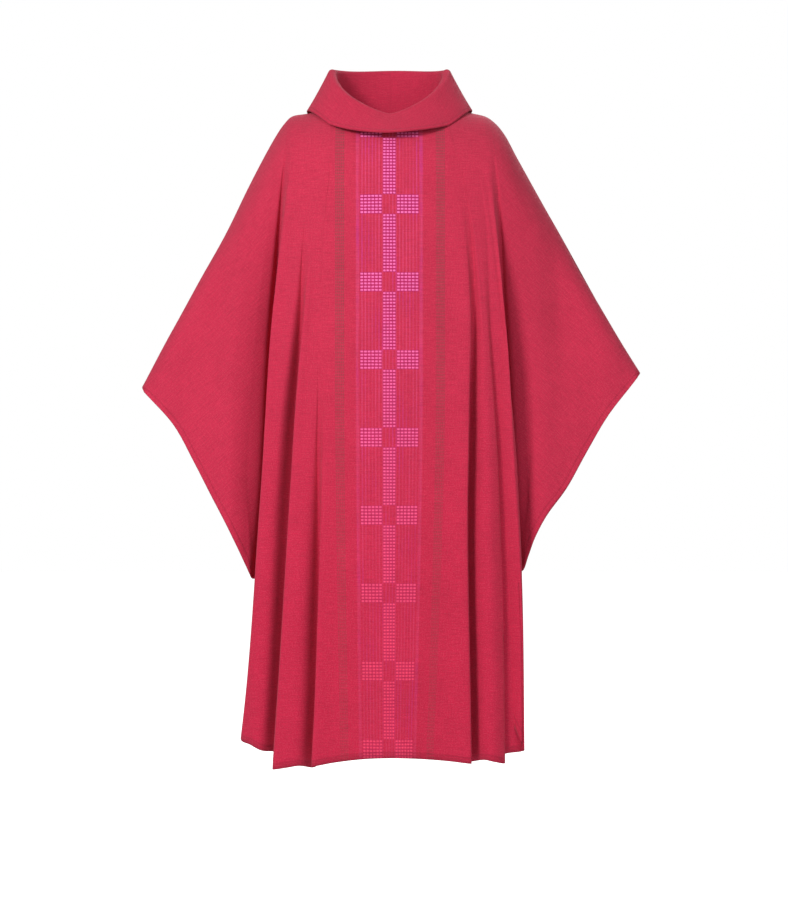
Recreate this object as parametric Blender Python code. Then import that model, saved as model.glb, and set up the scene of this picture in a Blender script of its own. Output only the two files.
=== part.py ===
"""A Gothic chasuble in the shape it takes when worn, in metres, +Z up.

The origin is the centre of the neck opening at the height of the shoulders. The
front faces -Y and +X is to the right of somebody who looks at the front.

Each body panel is one sheet of cloth. It is described by lines that run down it,
from the shoulder ridge or the neckline to the hem. Most lines belong to a fold:
a crest that stands forward, a return that goes back under the crest, and a valley
where the cloth comes out again. The sheet is the smooth surface across the lines.
"""

from collections import namedtuple
import math

import bpy
import numpy as np

# Cloth and gaps
CLOTH = 0.0012
PLY_GAP = 0.0006
SEAM_HALF = 0.0010

# Neck opening and shoulders
NECK_HALF = 0.115
NECK_TOP = 0.014
NECK_DROP = {"front": 0.058, "back": 0.028}

# How far each panel stands off the shoulder plane
BODY_HALF = 0.34
WING_DEPTH = 0.050
WING_ROUND = 0.085
SHOULDER_ROUND = {"front": 0.145, "back": 0.160}
BODY_DEPTH = {
    "front": ((-1.32, 0.186), (-0.70, 0.170), (-0.25, 0.172), (0.02, 0.168)),
    "back": ((-1.32, 0.176), (-0.80, 0.150), (-0.25, 0.142), (0.02, 0.130)),
}
FACING = {"front": -1.0, "back": 1.0}
SIDE = {"left": -1.0, "right": 1.0}

# The shoulder and arm line of each side: distance from the centre, height
RIDGE = {
    "left": (
        (0.115, 0.014), (0.164, 0.005), (0.203, -0.007), (0.224, -0.036), (0.260, -0.100),
        (0.337, -0.252), (0.425, -0.411), (0.494, -0.540),
    ),
    "right": (
        (0.115, 0.014), (0.164, 0.006), (0.201, -0.006), (0.222, -0.026), (0.260, -0.093),
        (0.345, -0.243), (0.425, -0.390), (0.500, -0.512),
    ),
}
# The free lower edge of each wing, from behind the body fold out to the tip
WING_EDGE = {
    "left": (
        (0.270, -0.924), (0.3095, -0.838), (0.3755, -0.713), (0.421, -0.626), (0.488, -0.551),
    ),
    "right": (
        (0.262, -0.908), (0.296, -0.818), (0.361, -0.725), (0.421, -0.615), (0.493, -0.523),
    ),
}
BACK_EDGE_LIFT = 0.012

# line: (height, distance from the centre); apex and reach: where the fold starts and
# how far below that it is full; overlap, forward and back: its size when full; tuck:
# how far the cloth beyond it drops back to the wings; hem: heights of the lower ends
# of the crest, the return and the valley
Fold = namedtuple("Fold", "line apex reach overlap forward back tuck hem")
FOLDS = {
    ("front", "left"): (
        Fold(
            ((0.0, 0.085), (-0.25, 0.118), (-0.65, 0.133), (-0.96, 0.139), (-1.15, 0.144), (-1.28, 0.150)),
            -0.48, 0.60, 0.020, 0.010, 0.016, 0.0, (-1.277, -1.269, -1.284),
        ),
        Fold(
            ((0.0, 0.134), (-0.20, 0.155), (-0.38, 0.168), (-0.76, 0.194), (-1.15, 0.217), (-1.28, 0.226)),
            -0.22, 0.40, 0.036, 0.010, 0.018, 0.0, (-1.286, -1.272, -1.258),
        ),
        Fold(
            ((0.0, 0.182), (-0.11, 0.197), (-0.38, 0.228), (-0.76, 0.252), (-1.15, 0.283), (-1.24, 0.294)),
            -0.05, 0.45, 0.056, 0.008, 0.010, 0.80, (-1.231, -1.120, -0.926),
        ),
    ),
    ("front", "right"): (
        Fold(
            ((0.0, 0.085), (-0.18, 0.140), (-0.38, 0.161), (-0.57, 0.157), (-0.76, 0.152), (-1.28, 0.159)),
            -0.12, 0.62, 0.024, 0.010, 0.018, 0.0, (-1.272, -1.265, -1.273),
        ),
        Fold(
            ((0.0, 0.134), (-0.20, 0.177), (-0.38, 0.192), (-0.76, 0.215), (-0.96, 0.222), (-1.28, 0.225)),
            -0.10, 0.60, 0.004, 0.004, 0.007, 0.0, (-1.275, -1.268, -1.260),
        ),
        Fold(
            ((0.0, 0.182), (-0.11, 0.199), (-0.38, 0.225), (-0.76, 0.245), (-1.00, 0.257), (-1.24, 0.260)),
            -0.06, 0.50, 0.046, 0.008, 0.018, 0.42, (-1.242, -1.120, -0.910),
        ),
    ),
    ("back", "left"): (
        Fold(
            ((0.0, 0.080), (-0.30, 0.092), (-0.80, 0.100), (-1.30, 0.108)),
            -0.30, 0.70, 0.016, 0.010, 0.016, 0.0, (-1.296, -1.294, -1.292),
        ),
        Fold(
            ((0.0, 0.134), (-0.30, 0.160), (-0.80, 0.176), (-1.30, 0.190)),
            -0.16, 0.60, 0.030, 0.010, 0.018, 0.0, (-1.280, -1.272, -1.262),
        ),
        Fold(
            ((0.0, 0.184), (-0.14, 0.204), (-0.50, 0.232), (-0.87, 0.252), (-1.26, 0.268)),
            -0.06, 0.60, 0.050, 0.006, 0.010, 0.95, (-1.236, -1.110, -0.915),
        ),
    ),
    ("back", "right"): (
        Fold(
            ((0.0, 0.080), (-0.30, 0.098), (-0.80, 0.108), (-1.30, 0.112)),
            -0.24, 0.70, 0.018, 0.010, 0.016, 0.0, (-1.295, -1.293, -1.290),
        ),
        Fold(
            ((0.0, 0.134), (-0.30, 0.158), (-0.80, 0.172), (-1.30, 0.182)),
            -0.30, 0.70, 0.028, 0.010, 0.016, 0.0, (-1.278, -1.270, -1.260),
        ),
        Fold(
            ((0.0, 0.182), (-0.14, 0.202), (-0.50, 0.228), (-0.87, 0.246), (-1.26, 0.246)),
            -0.06, 0.60, 0.046, 0.006, 0.010, 0.95, (-1.234, -1.108, -0.900),
        ),
    ),
}
CENTRE_HEM = {"front": -1.260, "back": -1.298}
FOLD_SLACK = 0.009
PIPE_BULGE = 0.006
WING_WAVE = ((0.0, 0.0), (0.25, 0.012), (0.50, -0.008), (0.75, 0.004), (1.0, 0.0))
WING_SHARES = (0.035, 0.08, 0.16, 0.27, 0.42, 0.60, 0.80, 1.0)

# Rows down a panel
PANEL_ROWS = 19
TOP_CROWDING = 1.9

# Collar: (half width, front reach, back reach, front height, rise to the side, rise to the back)
ROLL = (0.1145, 0.122, 0.100, -0.012, 0.105, 0.012)
FALL_EDGE = (0.1640, 0.170, 0.160, -0.0525, 0.062, 0.012)
# Below 1, the ring dips to a shallow point at the centre front
ROLL_SHARPNESS = 0.69
FALL_SHARPNESS = 0.82
COLLAR_STEPS = 36
COLLAR_PLY = 0.0010
ROLL_RADIUS = 0.007
ROLL_TURN = math.radians(150)
ROLL_POINTS = 5
FALL_BULGE = 0.010
EDGE_REST = 0.0050
STAND_GAP = 0.0045

# Shoulder stay tapes
TAPE_HALF = 0.005
TAPE_THICK = 0.0010
TAPE_DROP = 0.0034
TAPE_STEPS = 28

# Neck binding
BINDING_HEIGHT = 0.009
BINDING_THICK = 0.0012
BINDING_INSET = 0.0038

# Hanger loop, a flat tape sewn at both ends
LOOP_HALF = 0.024
LOOP_LENGTH = 0.024
LOOP_WIDTH = 0.006
LOOP_THICK = 0.0020
LOOP_HINGE = (0.0, 0.0705, -0.0240)

# Blank label on the inside of the back
LABEL_HALF = 0.022
LABEL_TOP = 0.062
LABEL_DEPTH = 0.026
LABEL_THICK = 0.0007
LABEL_INSET = 0.0044

CLOTH_RED = (0.546, 0.036, 0.076, 1.0)
COLLAR_RED = (0.520, 0.040, 0.082, 1.0)
TAPE_RED = (0.330, 0.022, 0.048, 1.0)
LABEL_CREAM = (0.760, 0.700, 0.600, 1.0)
INTERLINING_WHITE = (0.800, 0.780, 0.740, 1.0)


def clear_scene():
    for obj in list(bpy.data.objects):
        bpy.data.objects.remove(obj, do_unlink=True)


def cloth_material(name, colour, roughness):
    material = bpy.data.materials.new(name)
    material.use_nodes = True
    shader = material.node_tree.nodes["Principled BSDF"]
    shader.inputs["Base Color"].default_value = colour
    shader.inputs["Roughness"].default_value = roughness
    shader.inputs["Metallic"].default_value = 0.0
    return material


def add_object(name, vertices, faces, material):
    mesh = bpy.data.meshes.new(name)
    mesh.from_pydata([tuple(map(float, v)) for v in vertices], [], faces)
    mesh.update()
    mesh.materials.append(material)
    mesh.shade_smooth()
    obj = bpy.data.objects.new(name, mesh)
    bpy.context.scene.collection.objects.link(obj)
    return obj


def thicken(obj, thickness):
    """Turns an open sheet into a closed one, with the extra cloth on its inner side."""
    modifier = obj.modifiers.new("thickness", "SOLIDIFY")
    modifier.thickness = thickness
    modifier.offset = -1.0
    modifier.use_rim = True


def none(z):
    return 0.0 * z


def smooth_step(share):
    share = np.clip(share, 0.0, 1.0)
    return share * share * (3.0 - 2.0 * share)


def through(points, at):
    """The smooth curve through (place, value) points, read at the places given."""
    place, value = np.array(sorted(points)).T
    slope = np.gradient(value, place)
    at = np.clip(at, place[0], place[-1])
    i = np.clip(np.searchsorted(place, at) - 1, 0, len(place) - 2)
    span = place[i + 1] - place[i]
    s = (at - place[i]) / span
    start = (2 * s**3 - 3 * s**2 + 1) * value[i] + (s**3 - 2 * s**2 + s) * span * slope[i]
    end = (3 * s**2 - 2 * s**3) * value[i + 1] + (s**3 - s**2) * span * slope[i + 1]
    return start + end


def along(points, share):
    """The point at this share of the length of a smooth path through 2-D points."""
    points = np.array(points)
    steps = np.linalg.norm(np.diff(points, axis=0), axis=1)
    places = np.concatenate([[0.0], np.cumsum(steps)]) / steps.sum()
    return np.array([through(list(zip(places, column)), share) for column in points.T])


def ridge_height(side, x):
    return np.where(x < NECK_HALF, NECK_TOP, through(RIDGE[side], x))


def stand_off(panel, side, x, z, tuck=0.0):
    """How far the cloth stands from the shoulder plane before the folds are added.

    The body is deep and the wings are shallow. tuck takes a line from the depth of
    the body, 0, to that of the wings, 1, which hang behind the body's outer folds.
    """
    body = through(BODY_DEPTH[panel], z)
    share = np.clip(1.0 - (x / BODY_HALF) ** 2, 0.0, 1.0) ** 0.75
    depth = WING_DEPTH + (body - WING_DEPTH) * share * (1.0 - tuck)
    rounding = WING_ROUND + (SHOULDER_ROUND[panel] - WING_ROUND) * share
    drop = np.clip((ridge_height(side, x) - z) / rounding, 0.0, 1.0)
    return SEAM_HALF + depth * np.sqrt(1.0 - (1.0 - drop) ** 2)


def neckline_height(panel, x):
    """The height of the neckline at this distance from the centre."""
    inside = np.clip(x / NECK_HALF, 0.0, 1.0)
    return NECK_TOP - NECK_DROP[panel] * np.sqrt(1.0 - inside**2)


def line_down(panel, side, x_of_z, top_x, hem_z, push, tuck):
    """One line down a panel. push(z) moves it outwards and tuck(z) back to the wings."""
    share = np.linspace(0.0, 1.0, PANEL_ROWS) ** TOP_CROWDING
    top_z = neckline_height(panel, top_x) if top_x < NECK_HALF else ridge_height(side, top_x)
    z = top_z + (hem_z - top_z) * share
    start = top_x - x_of_z(np.array([top_z]))[0]
    x = x_of_z(z) + start * (1.0 - share) ** 12
    y = stand_off(panel, side, x, z, tuck(z)) + push(z)
    return np.column_stack([SIDE[side] * x, FACING[panel] * y, z])


def fold_lines(panel, side, fold, top_x):
    """The crest, return and valley of one fold. Above its apex they lie flat, side by side."""

    def centre(z):
        return through(fold.line, z)

    def full(z):
        return smooth_step((fold.apex - z) / fold.reach)

    def crest(z):
        return centre(z) - FOLD_SLACK * (1.0 - full(z))

    def under(z):
        return centre(z) - fold.overlap * full(z)

    def valley(z):
        return centre(z) + FOLD_SLACK * (1.0 - 0.6 * full(z))

    places = (crest, under, valley)
    pushes = (fold.forward, -0.5 * fold.back, -fold.back)
    tucks = (0.0, 0.5 * fold.tuck, fold.tuck)
    tops = (top_x - FOLD_SLACK, top_x, top_x + FOLD_SLACK)
    return [
        line_down(
            panel, side, place, top, hem,
            lambda z, push=push: push * full(z),
            lambda z, tuck=tuck: tuck * full(z),
        )
        for place, push, tuck, top, hem in zip(places, pushes, tucks, tops, fold.hem)
    ]


def pipe_line(panel, side, inner, outer, top_x):
    """The crown of the round pipe between two folds."""
    hem = 0.5 * (inner[-1, 2] + outer[-1, 2])
    xs = 0.5 * (np.abs(inner[:, 0]) + np.abs(outer[:, 0]))
    zs = 0.5 * (inner[:, 2] + outer[:, 2])
    points = list(zip(zs, xs))
    return line_down(
        panel, side, lambda z: through(points, z), top_x, hem,
        lambda z: PIPE_BULGE * smooth_step((-0.30 - z) / 0.60), none,
    )


def wing_lines(panel, side, fold, top_x):
    """The lines of the wing, from the valley of the outer fold to the tip."""

    def tuck(z):
        return fold.tuck * smooth_step((fold.apex - z) / fold.reach)

    edge = WING_EDGE[side]
    if panel == "back":
        edge = [(x, z + BACK_EDGE_LIFT) for x, z in edge]
    ridge = [point for point in RIDGE[side] if point[0] > top_x]
    ridge.insert(0, (top_x, float(ridge_height(side, np.array(top_x)))))
    lines = []
    for share in WING_SHARES:
        top = along(ridge, share)
        low = along(edge, share)
        dent = through(WING_WAVE, share)

        def x_of_z(z, top=top, low=low):
            return top[0] + (low[0] - top[0]) * (top[1] - z) / (top[1] - low[1])

        def push(z, top=top, low=low, dent=dent):
            return -dent * smooth_step((top[1] - z) / (top[1] - low[1] + 0.10))

        lines.append(line_down(panel, side, x_of_z, top[0], low[1], push, tuck))
    return lines


def flat_lines(panel, side, fold):
    """The lines of the flat centre, between the centre line and the innermost fold."""
    lines = []
    for share in (0.38, 0.76):

        def x_of_z(z, share=share):
            return share * (through(fold.line, z) - FOLD_SLACK)

        hem_z = CENTRE_HEM[panel] + (fold.hem[0] - CENTRE_HEM[panel]) * share**2
        lines.append(line_down(panel, side, x_of_z, share * 0.098, hem_z, none, none))
    return lines


def half_lines(panel, side):
    """The lines of half a panel, from beside its centre line out to the tip of the wing."""
    inner, middle, outer = FOLDS[panel, side]
    first = fold_lines(panel, side, inner, 0.102)
    second = fold_lines(panel, side, middle, 0.138)
    third = fold_lines(panel, side, outer, 0.187)
    return (
        flat_lines(panel, side, inner)
        + first
        + [pipe_line(panel, side, first[2], second[0], NECK_HALF)]
        + second
        + [pipe_line(panel, side, second[2], third[0], 0.163)]
        + third
        + wing_lines(panel, side, outer, 0.198)
    )


def panel_grid(panel):
    """All the lines of a panel, as an array of columns, rows and coordinates."""
    centre = line_down(panel, "right", none, 0.0, CENTRE_HEM[panel], none, none)
    left = half_lines(panel, "left")
    return np.array(left[::-1] + [centre] + half_lines(panel, "right"))


def grid_faces(columns, rows):
    """Pairs of triangles between neighbouring columns and rows, all split the same way."""
    faces = []
    for i in range(columns - 1):
        j = i + 1
        for k in range(rows - 1):
            near = i * rows + k
            far = j * rows + k
            faces.append((near, near + 1, far + 1))
            faces.append((near, far + 1, far))
    return faces


def flipped(faces):
    return [face[::-1] for face in faces]


def make_panel(name, panel, material):
    grid = panel_grid(panel)
    faces = grid_faces(*grid.shape[:2])
    if panel == "back":
        faces = flipped(faces)
    obj = add_object(name, grid.reshape(-1, 3), faces, material)
    thicken(obj, CLOTH)
    return obj


def ring_point(shape, angle, sharpness=1.0):
    """A point of a collar ring. The angle is 0 at the front and a quarter turn at the right."""
    half, front, back, low, side_rise, back_rise = shape
    forward = math.cos(angle)
    reach = front if forward > 0 else back
    rise = side_rise * (1.0 - max(forward, 0.0)) ** sharpness
    height = low + rise - back_rise * min(forward, 0.0)
    return np.array([half * math.sin(angle), -reach * forward, height])


def neck_seam(angle):
    """The point of the neckline at this angle around the neck."""
    panel = "front" if math.cos(angle) > 0 else "back"
    x = NECK_HALF * abs(math.sin(angle))
    z = neckline_height(panel, x)
    y = stand_off(panel, "right", np.array(x), np.array(z))
    return np.array([NECK_HALF * math.sin(angle), FACING[panel] * float(y), float(z)])


def cloth_height(panel, x, y):
    """The height of the shoulder cloth under a point at this place in plan."""
    side = "right"
    share = max(1.0 - (x / BODY_HALF) ** 2, 0.0) ** 0.75
    body = through(BODY_DEPTH[panel], 0.0)
    depth = WING_DEPTH + (body - WING_DEPTH) * share
    rounding = WING_ROUND + (SHOULDER_ROUND[panel] - WING_ROUND) * share
    out = min(abs(y) / depth, 1.0)
    return float(ridge_height(side, x)) - rounding * (1.0 - math.sqrt(1.0 - out**2))


def collar_edge(angle):
    """The free edge of the fall, which rests on the shoulders and stands clear of the chest."""
    edge = ring_point(FALL_EDGE, angle, FALL_SHARPNESS)
    panel = "front" if math.cos(angle) > 0 else "back"
    edge[2] = max(edge[2], cloth_height(panel, abs(edge[0]), edge[1]) + EDGE_REST)
    return edge


def collar_profile(angle, rise):
    """The section of one collar surface: up the stand, over the roll and down the fall.

    rise is how far the surface lies above the collar's middle layer.
    """
    seam = neck_seam(angle) + np.array([0.0, 0.0, STAND_GAP])
    roll = ring_point(ROLL, angle, ROLL_SHARPNESS)
    edge = collar_edge(angle)
    up = np.array([0.0, 0.0, 1.0])
    outward = edge - roll
    outward[2] = 0.0
    outward /= np.linalg.norm(outward)
    centre = roll - up * ROLL_RADIUS
    radius = ROLL_RADIUS + rise
    turn = [
        centre - outward * radius * math.cos(t) + up * radius * math.sin(t)
        for t in np.linspace(0.0, ROLL_TURN, ROLL_POINTS)
    ]
    across = float((edge - centre) @ outward) - ROLL_RADIUS
    fall_normal = outward * (centre[2] - edge[2]) + up * across
    fall_normal /= np.linalg.norm(fall_normal)
    seam = seam - outward * rise
    last = edge + fall_normal * rise
    bulge = up * FALL_BULGE - outward * FALL_BULGE * across / 0.05
    start = turn[-1]
    fall = [start + (last - start) * t + bulge * t * (1.0 - t) for t in (0.33, 0.66, 1.0)]
    return np.array([seam, 0.5 * (seam + turn[0])] + turn + fall)


def make_collar_ply(name, level, material):
    """One ring-shaped layer of the collar; level 1 is on top and -1 is underneath."""
    angles = np.arange(COLLAR_STEPS) * 2.0 * math.pi / COLLAR_STEPS
    middle = level * (COLLAR_PLY + PLY_GAP)
    upper = np.array([collar_profile(angle, middle + 0.5 * COLLAR_PLY) for angle in angles])
    lower = np.array([collar_profile(angle, middle - 0.5 * COLLAR_PLY) for angle in angles])
    section = np.concatenate([upper, lower[:, ::-1]], axis=1)
    count = section.shape[1]
    faces = []
    for i in range(COLLAR_STEPS):
        j = (i + 1) % COLLAR_STEPS
        for k in range(count):
            m = (k + 1) % count
            corners = (i * count + k, i * count + m, j * count + m, j * count + k)
            # Both sides of a layer split along the same diagonal, so that layers stay parallel
            turn = 0 if k < upper.shape[1] else 1
            a, b, c, d = corners[turn:] + corners[:turn]
            faces += [(a, b, c), (a, c, d)]
    return add_object(name, section.reshape(-1, 3), faces, material)


def swept_strip(sections, closed):
    """Faces and points of a strip swept through four-cornered sections."""
    points = np.array(sections).reshape(-1, 3)
    count = len(sections)
    faces = []
    for i in range(count if closed else count - 1):
        j = (i + 1) % count
        for k in range(4):
            m = (k + 1) % 4
            faces.append((4 * i + k, 4 * i + m, 4 * j + m, 4 * j + k))
    if not closed:
        last = 4 * (count - 1)
        faces.append((3, 2, 1, 0))
        faces.append((last, last + 1, last + 2, last + 3))
    return points, faces


def make_shoulder_tape(name, side, material):
    """A straight stay tape under the shoulder seam, from the neck to near the wing tip."""
    shares = np.linspace(0.03, 0.94, TAPE_STEPS)
    path = np.array([along(RIDGE[side], share) for share in shares])
    heading = np.gradient(path, axis=0)
    heading /= np.linalg.norm(heading, axis=1, keepdims=True)
    sections = []
    for (x, z), (run, rise) in zip(path, heading):
        under = np.array([SIDE[side] * rise, 0.0, -run])
        top = np.array([SIDE[side] * x, 0.0, z]) + under * TAPE_DROP
        low = top + under * TAPE_THICK
        across = np.array([0.0, TAPE_HALF, 0.0])
        corners = [top - across, top + across, low + across, low - across]
        sections.append(corners if side == "left" else corners[::-1])
    return add_object(name, *swept_strip(sections, closed=False), material)


def make_neck_binding(name, material):
    """The bias strip that covers the neck seam on the inside."""
    sections = []
    for step in range(COLLAR_STEPS):
        angle = step * 2.0 * math.pi / COLLAR_STEPS
        seam = neck_seam(angle)
        inward = -np.array([seam[0], seam[1] * 0.9, 0.0])
        inward /= np.linalg.norm(inward)
        near = seam + inward * BINDING_INSET
        far = near + inward * BINDING_THICK
        drop = np.array([0.0, 0.0, BINDING_HEIGHT])
        sections.append([near - drop, far - drop, far, near])
    return add_object(name, *swept_strip(sections, closed=True), material)


def make_hanger_loop(name, material):
    """A U of flat tape that hangs from its two sewn ends, with its origin on the hinge line."""
    outer = LOOP_HALF
    inner = LOOP_HALF - LOOP_WIDTH
    low = -LOOP_LENGTH
    outline = [
        (-outer, 0.0), (-outer, low), (outer, low), (outer, 0.0),
        (inner, 0.0), (inner, low + LOOP_WIDTH), (-inner, low + LOOP_WIDTH), (-inner, 0.0),
    ]
    half = 0.5 * LOOP_THICK
    points = [(x, y, z) for y in (-half, half) for x, z in outline]
    quads = ((0, 1, 6, 7), (1, 2, 5, 6), (2, 3, 4, 5))
    faces = list(quads)
    faces += [tuple(8 + i for i in quad[::-1]) for quad in quads]
    faces += [(i, 8 + i, 8 + (i + 1) % 8, (i + 1) % 8) for i in range(8)]
    obj = add_object(name, points, faces, material)
    obj.data.shade_flat()
    obj.location = LOOP_HINGE
    return obj


def make_label(name, material):
    """A blank label lying against the inside of the back."""
    points = []
    for x in (-LABEL_HALF, 0.0, LABEL_HALF):
        for drop in (LABEL_TOP, LABEL_TOP + LABEL_DEPTH / 2, LABEL_TOP + LABEL_DEPTH):
            z = NECK_TOP - drop
            y = stand_off("back", "right", np.array(abs(x)), np.array(z)) - LABEL_INSET
            points.append((x, float(y), z))
    obj = add_object(name, points, grid_faces(3, 3), material)
    thicken(obj, LABEL_THICK)
    return obj


def main():
    clear_scene()
    body_cloth = cloth_material("body_cloth", CLOTH_RED, 0.85)
    collar_cloth = cloth_material("collar_cloth", COLLAR_RED, 0.85)
    interlining = cloth_material("interlining", INTERLINING_WHITE, 0.95)
    binding = cloth_material("binding", TAPE_RED, 0.80)
    seam_tape = cloth_material("seam_tape", TAPE_RED, 0.75)
    loop_tape = cloth_material("loop_tape", TAPE_RED, 0.65)
    label = cloth_material("label", LABEL_CREAM, 0.55)

    make_panel("front_panel", "front", body_cloth)
    make_panel("back_panel", "back", body_cloth)
    make_collar_ply("upper_collar", 1, collar_cloth)
    make_collar_ply("collar_interlining", 0, interlining)
    make_collar_ply("under_collar", -1, collar_cloth)
    make_neck_binding("neck_binding", binding)
    make_shoulder_tape("left_shoulder_tape", "left", seam_tape)
    make_shoulder_tape("right_shoulder_tape", "right", seam_tape)
    make_hanger_loop("hanger_loop", loop_tape)
    make_label("size_label", label)


main()
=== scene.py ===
"""The finished look of a Gothic chasuble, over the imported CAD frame.

The body panels are drawn from lines like those of the CAD solids, with deeper folds, other
waves in the wings and a smooth, finely divided surface across them. Their pattern coordinates
are metres on the cloth, eased together towards the hem of the body.
"""

from collections import namedtuple
import math

import bpy
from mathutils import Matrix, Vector
import numpy as np

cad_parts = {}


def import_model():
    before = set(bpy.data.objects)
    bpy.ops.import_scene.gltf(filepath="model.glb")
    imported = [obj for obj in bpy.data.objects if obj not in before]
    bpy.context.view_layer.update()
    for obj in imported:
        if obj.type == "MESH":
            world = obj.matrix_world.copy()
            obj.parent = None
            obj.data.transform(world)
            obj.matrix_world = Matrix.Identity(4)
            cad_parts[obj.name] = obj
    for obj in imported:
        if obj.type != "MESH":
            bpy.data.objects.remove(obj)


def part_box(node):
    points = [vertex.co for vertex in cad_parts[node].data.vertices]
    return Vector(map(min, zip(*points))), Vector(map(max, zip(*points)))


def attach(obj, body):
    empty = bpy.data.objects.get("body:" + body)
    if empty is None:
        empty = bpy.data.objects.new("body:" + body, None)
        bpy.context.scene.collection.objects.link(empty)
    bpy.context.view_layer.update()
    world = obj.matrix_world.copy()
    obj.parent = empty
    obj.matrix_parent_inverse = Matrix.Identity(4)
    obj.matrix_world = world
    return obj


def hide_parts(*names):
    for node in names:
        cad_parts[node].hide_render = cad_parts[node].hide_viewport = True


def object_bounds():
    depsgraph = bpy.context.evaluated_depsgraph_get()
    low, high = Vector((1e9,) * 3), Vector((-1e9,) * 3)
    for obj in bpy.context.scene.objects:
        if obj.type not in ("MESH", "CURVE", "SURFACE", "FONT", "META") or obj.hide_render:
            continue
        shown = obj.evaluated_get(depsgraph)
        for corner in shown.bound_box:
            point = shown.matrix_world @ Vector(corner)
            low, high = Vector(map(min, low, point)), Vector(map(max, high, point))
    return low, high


# Cloth
CLOTH = 0.0009
SEAM_HALF = 0.00012
ACROSS = 6
PANEL_ROWS = 150
TOP_CROWDING = 1.9
GRAIN_TURN = math.radians(43)

# Neck opening and shoulders
NECK_HALF = 0.115
NECK_TOP = 0.014
NECK_DROP = {"front": 0.058, "back": 0.028}
BODY_HALF = 0.34
BODY_ROUNDNESS = 0.75
START_FADE = 12
WING_DEPTH = 0.050
WING_ROUND = 0.085
SHOULDER_ROUND = {"front": 0.145, "back": 0.160}
BODY_DEPTH = {
    "front": ((-1.32, 0.186), (-0.70, 0.170), (-0.25, 0.172), (0.02, 0.168)),
    "back": ((-1.32, 0.176), (-0.80, 0.150), (-0.25, 0.142), (0.02, 0.130)),
}
FACING = {"front": -1.0, "back": 1.0}
SIDE = {"left": -1.0, "right": 1.0}
RIDGE = {
    "left": (
        (0.115, 0.014), (0.164, 0.005), (0.203, -0.007), (0.224, -0.036), (0.260, -0.100),
        (0.337, -0.252), (0.425, -0.411), (0.494, -0.540),
    ),
    "right": (
        (0.115, 0.014), (0.164, 0.006), (0.201, -0.006), (0.222, -0.026), (0.260, -0.093),
        (0.345, -0.243), (0.425, -0.390), (0.500, -0.512),
    ),
}
WING_EDGE = {
    "left": (
        (0.270, -0.924), (0.3095, -0.838), (0.3755, -0.713), (0.421, -0.626), (0.488, -0.551),
    ),
    "right": (
        (0.262, -0.908), (0.296, -0.818), (0.361, -0.725), (0.421, -0.615), (0.493, -0.523),
    ),
}
BACK_EDGE_LIFT = 0.012

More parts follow.
